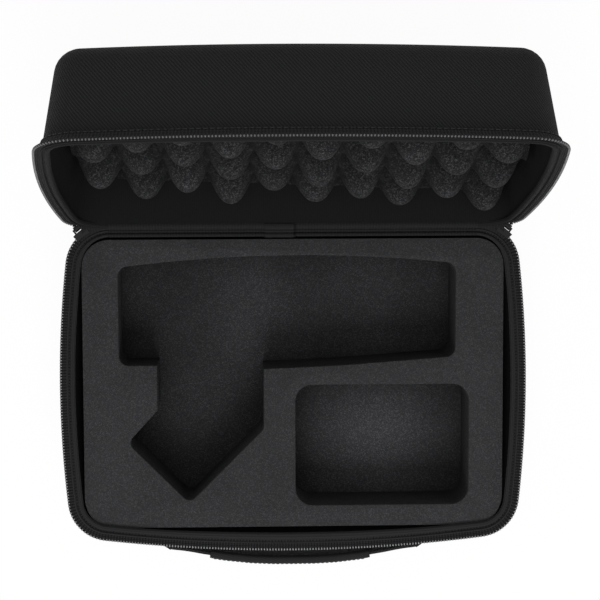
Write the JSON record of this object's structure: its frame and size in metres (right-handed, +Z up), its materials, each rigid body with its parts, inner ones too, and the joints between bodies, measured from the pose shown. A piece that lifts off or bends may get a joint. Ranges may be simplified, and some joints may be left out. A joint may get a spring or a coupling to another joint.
{
  "type": "microphone case",
  "caption": "Zip-closed moulded case, lid standing open, with a cut foam insert, egg-crate lid foam and a front webbing handle.",
  "frame": {"origin": "middle of the flat underside of the base, on the surface that it rests on", "axes": "+X to the right when the handle faces the viewer, +Y from the handle to the hinge, +Z up; the lid stands open"},
  "size_m": [0.305, 0.3391, 0.2636],
  "materials": {
    "outer_fabric": "black ribbed polyester bonded to the moulding, dull",
    "lining_fabric": "black brushed knit, dull",
    "binding_tape": "black grosgrain binding, dull",
    "zip_tape": "black woven zip tape",
    "zip_coil": "black nylon coil, satin",
    "zip_metal": "black painted metal, satin",
    "insert_foam": "dark grey closed-cell foam, matt",
    "pad_foam": "black foam, matt",
    "lid_foam": "charcoal open-cell foam, matt",
    "webbing": "black woven webbing",
    "grip_cover": "black padded sleeve, dull"
  },
  "bodies": {
    "base": {"base_shell": "outer_fabric", "base_lining": "lining_fabric", "base_binding": "binding_tape", "base_zip_tape": "zip_tape", "base_zip_coil": "zip_coil", "base_zip_stops": "zip_metal", "base_hinge_strip": "binding_tape", "foam_insert": "insert_foam", "insert_floor_pad": "pad_foam", "handle_anchor_left": "webbing", "handle_anchor_right": "webbing"},
    "lid": {"lid_shell": "outer_fabric", "lid_lining": "lining_fabric", "lid_binding": "binding_tape", "lid_zip_tape": "zip_tape", "lid_zip_coil": "zip_coil", "lid_zip_stops": "zip_metal", "lid_hinge_strip": "binding_tape", "lid_egg_crate_foam": "lid_foam"},
    "handle": {"handle_strap": "webbing", "handle_grip": "grip_cover"},
    "zip_slider_left": {"zip_slider_left": "zip_metal"},
    "zip_slider_right": {"zip_slider_right": "zip_metal"},
    "zip_pull_left": {"zip_pull_left": "zip_metal"},
    "zip_pull_right": {"zip_pull_right": "zip_metal"}
  },
  "joints": [
    {"name": "lid_hinge", "type": "hinge", "parent": "base", "child": "lid", "pos_m": [0, 0.10415, 0.06015], "axis": [-1, 0, 0], "range_deg": [-106.5, 73.5]},
    {"name": "handle_swing", "type": "hinge", "parent": "base", "child": "handle", "pos_m": [0, -0.1093, 0.031], "axis": [-1, 0, 0], "range_deg": [-45, 45]},
    {"name": "zip_slider_left_travel", "type": "hinge", "parent": "base", "child": "zip_slider_left", "pos_m": [-0.11888, 0.07915, 0.06], "axis": [0, 0, 1], "range_deg": [0, 45]},
    {"name": "zip_slider_right_travel", "type": "hinge", "parent": "base", "child": "zip_slider_right", "pos_m": [0.11888, 0.07915, 0.06], "axis": [0, 0, -1], "range_deg": [0, 45]},
    {"name": "zip_pull_left_swing", "type": "hinge", "parent": "zip_slider_left", "child": "zip_pull_left", "pos_m": [-0.13948, 0.10505, 0.06015], "axis": [0.7826, 0.6225, 0], "range_deg": [0, 120]},
    {"name": "zip_pull_right_swing", "type": "hinge", "parent": "zip_slider_right", "child": "zip_pull_right", "pos_m": [0.13948, 0.10505, 0.06015], "axis": [0.7826, -0.6225, 0], "range_deg": [0, 120]}
  ]
}
